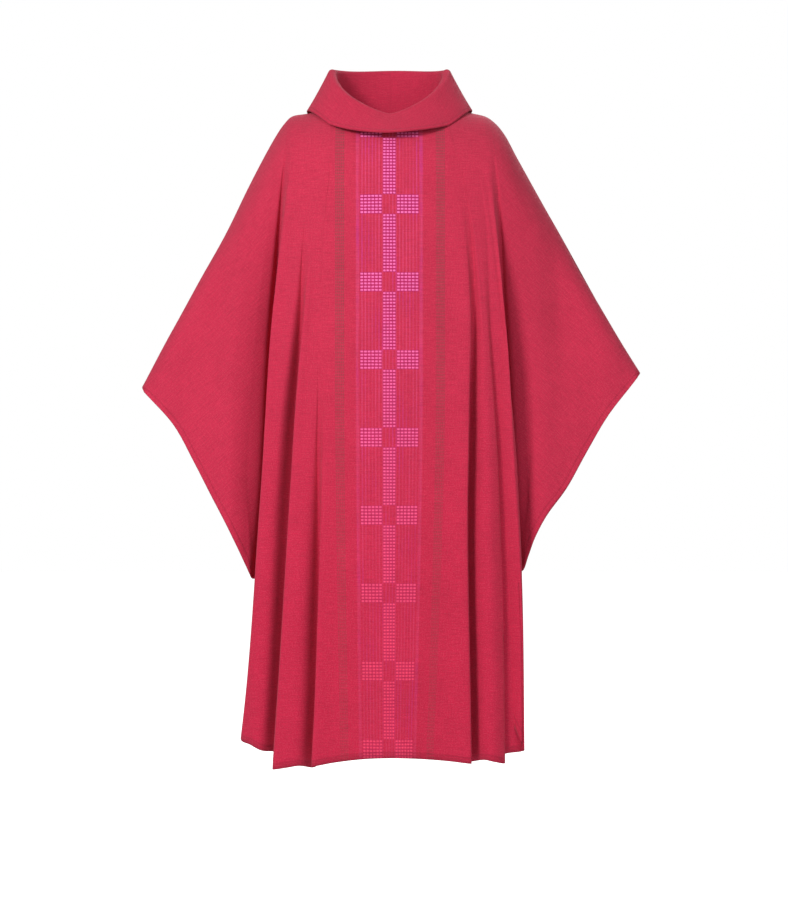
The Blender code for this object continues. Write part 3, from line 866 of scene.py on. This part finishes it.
class Shader:
    """Short names for the nodes of one material."""

    def __init__(self, name):
        self.material = bpy.data.materials.new(name)
        self.material.use_nodes = True
        self.nodes = self.material.node_tree.nodes
        self.links = self.material.node_tree.links
        self.surface = self.nodes["Principled BSDF"]
        self.surface.inputs["Metallic"].default_value = 0.0
        uv = self.nodes.new("ShaderNodeUVMap")
        uv.uv_map = "pattern"
        parts = self.nodes.new("ShaderNodeSeparateXYZ")
        self.links.new(uv.outputs[0], parts.inputs[0])
        self.u = parts.outputs[0]
        self.v = parts.outputs[1]

    def put(self, socket, value):
        if isinstance(value, bpy.types.NodeSocket):
            self.links.new(value, socket)
        else:
            socket.default_value = value

    def math(self, operation, *values):
        node = self.nodes.new("ShaderNodeMath")
        node.operation = operation
        for socket, value in zip(node.inputs, values):
            self.put(socket, value)
        return node.outputs[0]

    def add(self, *values):
        result = values[0]
        for value in values[1:]:
            result = self.math("ADD", result, value)
        return result

    def times(self, *values):
        result = values[0]
        for value in values[1:]:
            result = self.math("MULTIPLY", result, value)
        return result

    def most(self, a, b):
        return self.math("MAXIMUM", a, b)

    def size(self, value):
        return self.math("ABSOLUTE", value)

    def ramp(self, value, low, high):
        """0 below low and 1 above high, smooth in between; high below low turns it round."""
        node = self.nodes.new("ShaderNodeMapRange")
        node.interpolation_type = "SMOOTHSTEP"
        turned = high < low
        self.put(node.inputs["Value"], value)
        node.inputs["From Min"].default_value = min(low, high)
        node.inputs["From Max"].default_value = max(low, high)
        node.inputs["To Min"].default_value = 1.0 if turned else 0.0
        node.inputs["To Max"].default_value = 0.0 if turned else 1.0
        return node.outputs["Result"]

    def within(self, value, low, high, soft=0.0004):
        above = self.ramp(value, low - soft, low + soft)
        below = self.ramp(value, high + soft, high - soft)
        return self.times(above, below)

    def pulse(self, value, pitch, share, soft, shift=0.0):
        """1 over this share of each pitch, centred on its multiples."""
        turns = self.add(self.math("DIVIDE", value, pitch), shift + 0.5)
        off = self.size(self.add(self.math("FRACT", turns), -0.5))
        return self.ramp(off, 0.5 * share + soft, 0.5 * share - soft)

    def wave(self, value, pitch, shift=0.0):
        return self.math("SINE", self.add(self.times(value, 2 * math.pi / pitch), shift))

    def noise(self, across, down, detail=2.0, seed=0.0):
        """Noise of about 0.5, with this many features per metre across and down the cloth."""
        place = self.nodes.new("ShaderNodeCombineXYZ")
        self.put(place.inputs[0], self.times(self.u, across))
        self.put(place.inputs[1], self.times(self.v, down))
        place.inputs[2].default_value = seed
        node = self.nodes.new("ShaderNodeTexNoise")
        node.inputs["Scale"].default_value = 1.0
        node.inputs["Detail"].default_value = detail
        self.links.new(place.outputs[0], node.inputs["Vector"])
        return node.outputs["Fac"]

    def mix(self, share, a, b, blend="MIX"):
        node = self.nodes.new("ShaderNodeMix")
        node.data_type = "RGBA"
        node.blend_type = blend
        self.put(node.inputs[0], share)
        for socket, value in ((node.inputs[6], a), (node.inputs[7], b)):
            self.put(socket, value if isinstance(value, bpy.types.NodeSocket) else (*value, 1.0))
        return node.outputs[2]

    def shade(self, colour, amount):
        """The colour multiplied by a plain amount."""
        grey = self.nodes.new("ShaderNodeCombineColor")
        for socket in grey.inputs[:3]:
            self.put(socket, amount)
        return self.mix(1.0, colour, grey.outputs[0], "MULTIPLY")

    def value(self, name):
        node = self.nodes.new("ShaderNodeAttribute")
        node.attribute_name = name
        return node.outputs["Fac"]

    def finish(self, colour, roughness, height, depth, sheen=0.25, tint=None):
        surface = self.surface
        self.put(surface.inputs["Base Color"], colour)
        self.put(surface.inputs["Roughness"], roughness)
        surface.inputs["Specular IOR Level"].default_value = 0.14
        surface.inputs["Sheen Weight"].default_value = sheen
        surface.inputs["Sheen Roughness"].default_value = 0.5
        if tint:
            surface.inputs["Sheen Tint"].default_value = (*tint, 1.0)
        bump = self.nodes.new("ShaderNodeBump")
        bump.inputs["Distance"].default_value = depth
        bump.inputs["Strength"].default_value = 1.0
        self.put(bump.inputs["Height"], height)
        self.links.new(bump.outputs[0], surface.inputs["Normal"])
        return self.material


def weave(shader, pitch):
    """(height, tone, paleness) of a plain weave with uneven threads."""
    warp = shader.wave(shader.u, pitch)
    weft = shader.wave(shader.v, pitch)
    over = shader.times(warp, weft)
    slub = shader.noise(38, 560, 2.0, 1.0)
    end = shader.noise(560, 38, 2.0, 5.0)
    cloud = shader.noise(11, 11, 3.0, 9.0)
    height = shader.add(shader.times(over, 0.35), slub, shader.times(end, 0.6))
    tone = shader.add(shader.times(slub, 0.46), shader.times(end, 0.28), 0.56)
    cloudy = shader.times(shader.add(cloud, -0.5), 0.16)
    tone = shader.add(tone, cloudy, shader.times(over, 0.05))
    pale = shader.ramp(shader.noise(420, 420, 2.0, 17.0), 0.40, 0.72)
    return height, tone, shader.times(pale, 0.55)


def turned_edge(shader, width, seed=0.0):
    """(height, shade) of a hem turned under and stitched, from the distance to the edge; the shade is
    painted shade in the groove of the stitching and along the very edge.
    """
    distance = shader.value("from_hem")
    run = shader.add(shader.u, shader.times(shader.v, 0.7))
    dashes = shader.pulse(run, STITCH_PITCH, 0.66, 0.10, seed)
    line = shader.within(distance, width - 0.0006, width + 0.0006, 0.0003)
    groove = shader.ramp(shader.size(shader.add(distance, -width)), 0.0022, 0.0004)
    double = shader.ramp(distance, width + 0.0010, width)
    height = shader.add(shader.times(double, 0.9), shader.times(groove, -1.3))
    height = shader.add(height, shader.times(line, dashes, 0.9))
    # Painted shade: the groove along the stitching is darkened, and the stitches themselves are drawn a
    # little lighter.
    dark = shader.add(shader.times(groove, 0.17), shader.times(line, dashes, -0.10))
    # Painted shade: the cloth is darkened over its last 1.4 mm towards the edge.
    rim = shader.ramp(distance, 0.0014, 0.0002)
    return height, shader.add(1.0, shader.times(shader.add(dark, shader.times(rim, 0.25)), -1.0))


def dots(shader, pitch_across, pitch_down, shift_across, shift_down):
    across = shader.pulse(shader.u, pitch_across, 0.70, 0.14, shift_across)
    down = shader.pulse(shader.v, pitch_down, 0.52, 0.16, shift_down)
    return shader.times(across, down)


def band_parts(shader):
    """(dots, ground, stripes, side dots, side ground) of the woven band, each from 0 to 1."""
    aside = shader.size(shader.u)
    crosses = shader.times(shader.add(shader.v, -CROSS_TOP), 1 / CROSS_PITCH)
    phase = shader.math("FRACT", shader.add(crosses, 0.5))
    from_cross = shader.times(shader.size(shader.add(phase, -0.5)), CROSS_PITCH)
    arm = 3 * ROW_PITCH
    at_cross = shader.ramp(from_cross, arm + PATTERN_EDGE, arm - PATTERN_EDGE)
    off_cross = shader.math("SUBTRACT", 1.0, at_cross)
    row_shift = 0.5 - (CROSS_TOP / ROW_PITCH) % 1.0
    in_bar = shader.ramp(aside, BAR_HALF + PATTERN_EDGE, BAR_HALF - PATTERN_EDGE)
    bar = shader.times(in_bar, off_cross)
    block = shader.times(shader.within(aside, BLOCK_INNER, BLOCK_OUTER, PATTERN_EDGE), at_cross)
    bar_dots = dots(shader, BAR_HALF / 2, ROW_PITCH, 0.5, row_shift)
    wide = (BLOCK_OUTER - BLOCK_INNER) / 6
    inner = shader.add(aside, -BLOCK_INNER)
    block_across = shader.pulse(inner, wide, 0.72, 0.12, 0.5)
    block_down = shader.pulse(shader.v, ROW_PITCH, 0.52, 0.16, row_shift)
    block_dots = shader.times(block_across, block_down)
    pink = shader.add(shader.times(bar, bar_dots), shader.times(block, block_dots))
    ground = shader.add(bar, block)
    field = shader.ramp(aside, BAND_HALF + 0.0008, BAND_HALF - 0.0004)
    fine = shader.pulse(shader.u, STRIPE_PITCH, 0.40, 0.14)
    heavy = shader.within(aside, *HEAVY_STRIPE, 0.0006)
    drift = shader.ramp(shader.noise(70, 5, 2.0, 12.0), 0.30, 0.66)
    fine = shader.times(fine, shader.add(0.42, shader.times(drift, 0.58)))
    stripes = shader.times(shader.most(fine, shader.times(heavy, 0.85)), field)
    from_side = shader.size(shader.add(shader.u, SIDE_STRIPE_SHIFT))
    near, far = SIDE_STRIPE - SIDE_STRIPE_HALF, SIDE_STRIPE + SIDE_STRIPE_HALF
    side = shader.within(from_side, near, far, PATTERN_EDGE)
    side_dots = shader.times(
        shader.pulse(shader.u, SIDE_DOT_ACROSS, 0.58, 0.14),
        shader.pulse(shader.v, SIDE_DOT_DOWN, 0.62, 0.14),
    )
    return pink, ground, stripes, shader.times(side, side_dots), side


def body_cloth(name):
    """Plain-woven cloth with the band, its crosses and the dark side stripes woven in."""
    shader = Shader(name)
    height, tone, pale = weave(shader, WEAVE_PITCH)
    pink, ground, stripes, side_dots, side = band_parts(shader)
    fade = shader.ramp(shader.v, -1.15, -0.15)
    thread = shader.mix(fade, PINK_LOW, PINK_TOP)
    uneven = shader.noise(220, 60, 2.0, 3.0)
    strong = shader.add(0.50, shader.times(fade, 0.50))
    colour = shader.mix(pale, shader.mix(fade, RED_LOW, RED), PALE_RED)
    share = shader.times(stripes, strong, shader.add(0.22, shader.times(uneven, 0.62)))
    drift = shader.ramp(shader.noise(26, 9, 2.0, 21.0), 0.46, 0.66)
    colour = shader.mix(share, colour, shader.mix(drift, STRIPE_PINK, STRIPE_PURPLE))
    colour = shader.mix(shader.times(side, strong, 0.10), colour, GREY_GREEN)
    share = shader.times(side_dots, strong, shader.add(0.25, shader.times(uneven, 0.60)))
    colour = shader.mix(share, colour, GREY_GREEN)
    share = shader.times(ground, shader.add(0.25, shader.times(fade, 0.65)))
    colour = shader.mix(share, colour, PLUM)
    share = shader.times(pink, shader.add(0.68, shader.times(uneven, 0.55)))
    colour = shader.mix(share, colour, thread)
    hem_height, hem_shade = turned_edge(shader, HEM_WIDTH)
    # hem_shade carries the painted shade of the stitched hem: its groove and its very edge are darker.
    colour = shader.shade(colour, shader.times(tone, hem_shade))
    raised = shader.add(shader.times(pink, 1.3), shader.times(stripes, 0.35))
    raised = shader.add(raised, shader.times(side_dots, 0.3))
    height = shader.add(height, shader.add(raised, hem_height))
    roughness = shader.add(0.80, shader.times(pink, -0.24), shader.times(uneven, 0.08))
    return shader.finish(colour, roughness, height, WEAVE_DEPTH, 0.16, SHEEN)


def plain_cloth(name, colour, pitch=WEAVE_PITCH, roughness=0.84, depth=WEAVE_DEPTH, edge=None):
    """Plain-woven cloth of one colour, with a stitched edge of this width if one is given."""
    shader = Shader(name)
    height, tone, pale = weave(shader, pitch)
    if edge:
        # edge_shade carries the painted shade of the stitched edge: its groove and its very edge are
        # darker.
        edge_height, edge_shade = turned_edge(shader, edge, 0.3)
        height = shader.add(height, edge_height)
        tone = shader.times(tone, edge_shade)
    rough = shader.add(roughness - 0.04, shader.times(shader.noise(60, 60, 2.0, 2.0), 0.08))
    base = shader.shade(shader.mix(pale, colour, PALE_RED), tone)
    return shader.finish(base, rough, height, depth, 0.16, SHEEN)


def twill_tape(name, colour, roughness):
    """Narrow woven tape with slanting ribs and a thicker woven edge."""
    shader = Shader(name)
    aside = shader.size(shader.u)
    ribs = shader.wave(shader.add(shader.v, shader.times(aside, 0.8)), 0.0011)
    edge = shader.ramp(aside, 0.0020, 0.0045)
    slub = shader.noise(300, 90, 2.0, 4.0)
    tone = shader.add(0.80, shader.times(ribs, 0.08), shader.times(slub, 0.36))
    height = shader.add(shader.times(ribs, 0.5), shader.add(shader.times(edge, 0.6), slub))
    base = shader.shade(colour, tone)
    return shader.finish(base, shader.add(roughness, shader.times(slub, 0.1)), height, 0.00020, 0.15)


def felt(name, colour):
    """Pressed interlining with a speckle of bonded fibres."""
    shader = Shader(name)
    fibres = shader.noise(900, 420, 4.0, 6.0)
    bonds = shader.times(*(shader.pulse(way, 0.0024, 0.3, 0.1) for way in (shader.u, shader.v)))
    tone = shader.add(0.84, shader.times(fibres, 0.26), shader.times(bonds, -0.08))
    height = shader.add(fibres, shader.times(bonds, -0.6))
    base = shader.shade(colour, tone)
    return shader.finish(base, 0.93, height, 0.0002, 0.1)


def woven_label(name, colour):
    """Satin-woven blank label with a stitched border."""
    shader = Shader(name)
    ribs = shader.wave(shader.v, 0.0006)
    slub = shader.noise(120, 700, 2.0, 8.0)
    border = shader.within(shader.size(shader.u), 0.0185, 0.0192, 0.0002)
    stitches = shader.times(border, shader.pulse(shader.v, 0.0026, 0.6, 0.1))
    tone = shader.add(0.86, shader.times(ribs, 0.04), shader.times(slub, 0.22))
    base = shader.mix(shader.times(stitches, 0.8), shader.shade(colour, tone), LINING_RED)
    height = shader.add(shader.times(ribs, 0.4), shader.times(stitches, 1.2))
    return shader.finish(base, 0.48, height, 0.00015, 0.05)


# ---------------------------------------------------------------- scene


def white_when_seen(tree, strength, otherwise):
    """Full strength where the camera looks straight at it, and less as a light on the cloth."""
    path = tree.nodes.new("ShaderNodeLightPath")
    share = tree.nodes.new("ShaderNodeMapRange")
    share.inputs["To Min"].default_value = otherwise
    share.inputs["To Max"].default_value = 1.0
    tree.links.new(path.outputs["Is Camera Ray"], share.inputs["Value"])
    tree.links.new(share.outputs["Result"], strength)


def floor_material():
    material = bpy.data.materials.new("studio_floor")
    material.use_nodes = True
    shader = material.node_tree.nodes["Principled BSDF"]
    shader.inputs["Base Color"].default_value = (0.50, 0.50, 0.50, 1.0)
    shader.inputs["Roughness"].default_value = 0.9
    shader.inputs["Emission Color"].default_value = (1.0, 1.0, 1.0, 1.0)
    white_when_seen(material.node_tree, shader.inputs["Emission Strength"], 0.10)
    return material


def make_floor(height):
    corners = ((-1, -1), (1, -1), (1, 1), (-1, 1))
    points = [(x * FLOOR_HALF, y * FLOOR_HALF, height) for x, y in corners]
    floor = add_mesh("studio_floor", points, [(0, 1, 2, 3)], floor_material())


def area_light(name, place, energy, size):
    data = bpy.data.lights.new(name, "AREA")
    data.energy = energy
    data.size = size
    obj = bpy.data.objects.new(name, data)
    bpy.context.scene.collection.objects.link(obj)
    obj.location = place
    obj.rotation_euler = (Vector(LIGHT_TARGET) - Vector(place)).to_track_quat("-Z", "Y").to_euler()


def light_scene():
    world = bpy.data.worlds.new("studio")
    world.use_nodes = True
    background = world.node_tree.nodes["Background"]
    background.inputs[0].default_value = (1.0, 1.0, 1.0, 1.0)
    white_when_seen(world.node_tree, background.inputs["Strength"], AMBIENT)
    scene = bpy.context.scene
    scene.world = world
    scene.view_settings.view_transform = "Standard"
    for light in LIGHTS:
        area_light(*light)


def make_camera():
    data = bpy.data.cameras.new("camera")
    data.lens = LENS
    data.sensor_width = SENSOR
    camera = bpy.data.objects.new("camera", data)
    camera.location = CAMERA_PLACE
    camera.rotation_euler = (math.radians(90), 0.0, 0.0)
    bpy.context.scene.collection.objects.link(camera)
    bpy.context.scene.camera = camera


def stand_for(obj, node, body="garment"):
    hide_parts(node)
    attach(obj, body)
    return obj


def build_pieces():
    panel_cloth = body_cloth("panel_cloth")
    collar = plain_cloth("collar_cloth", COLLAR_RED, edge=COLLAR_HEM_WIDTH)
    under = plain_cloth("under_collar_cloth", COLLAR_RED, roughness=0.88)
    bias = plain_cloth("bias_binding", LINING_RED, BIAS_PITCH, 0.66, 0.0002)
    tape = twill_tape("stay_tape", LINING_RED, 0.70)
    loop = twill_tape("loop_tape", LINING_RED, 0.58)

    front = stand_for(make_panel("front_cloth", "front", panel_cloth), "front_panel")
    back = stand_for(make_panel("back_cloth", "back", panel_cloth), "back_panel")
    upper = stand_for(make_ply("upper_collar_ply", 1, collar, True), "upper_collar")
    lower = stand_for(make_ply("under_collar_ply", -1, under), "under_collar")
    stiff = stand_for(
        make_ply("interlining_ply", 0, felt("interlining_felt", INTERLINING)),
        "collar_interlining",
    )
    stand_for(make_neck_binding("bias_strip", bias), "neck_binding")
    for side in ("left", "right"):
        strip = make_shoulder_tape(side + "_stay_tape", side, tape)
        stand_for(strip, side + "_shoulder_tape")
    stand_for(make_hanger_loop("loop_tape", loop), "hanger_loop", "loop")
    label = stand_for(
        make_label("blank_label", woven_label("label_weave", LABEL_CREAM)), "size_label"
    )


def main():
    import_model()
    before = [list(corner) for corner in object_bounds()]
    build_pieces()
    make_floor(before[0][2] - FLOOR_GAP)
    light_scene()
    make_camera()


main()
